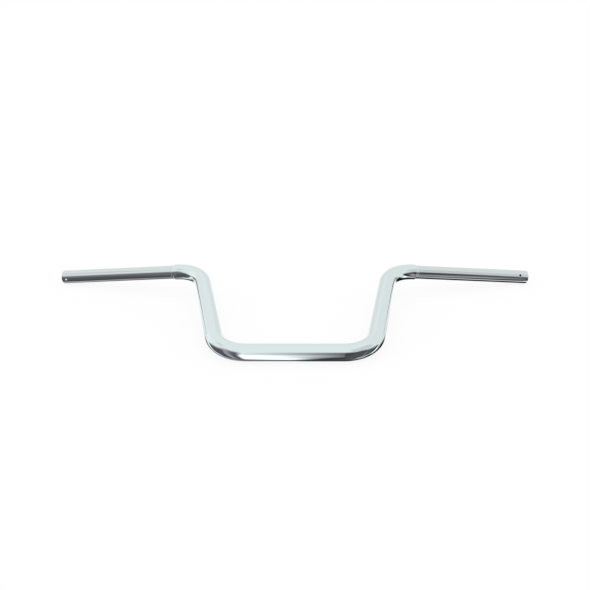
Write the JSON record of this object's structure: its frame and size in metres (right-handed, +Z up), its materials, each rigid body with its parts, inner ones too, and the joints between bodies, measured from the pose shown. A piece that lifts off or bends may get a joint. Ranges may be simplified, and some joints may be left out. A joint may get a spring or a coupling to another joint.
{
  "type": "handlebar",
  "caption": "Bent chrome motorcycle handlebar: straight clamp section, leaning uprights, swept-back grip ends that step down to a thinner tube behind turned shoulders.",
  "frame": {"origin": "centre of the straight clamp section, on its axis", "axes": "+X along the clamp section towards the right grip, +Y from the clamp section towards the grips, +Z up from the surface that the bar lies on"},
  "size_m": [0.8148, 0.3022, 0.0504],
  "materials": {
    "main_chrome": "polished chrome plate",
    "reducer_chrome": "polished chrome plate over fine turning",
    "grip_chrome": "polished chrome plate",
    "weld_chrome": "dressed weld under chrome plate"
  },
  "bodies": {
    "root": {"main_tube": "main_chrome", "left_reducer": "reducer_chrome", "right_reducer": "reducer_chrome", "left_grip_tube": "grip_chrome", "right_grip_tube": "grip_chrome", "left_main_weld": "weld_chrome", "right_main_weld": "weld_chrome", "left_grip_weld": "weld_chrome", "right_grip_weld": "weld_chrome"}
  },
  "joints": []
}
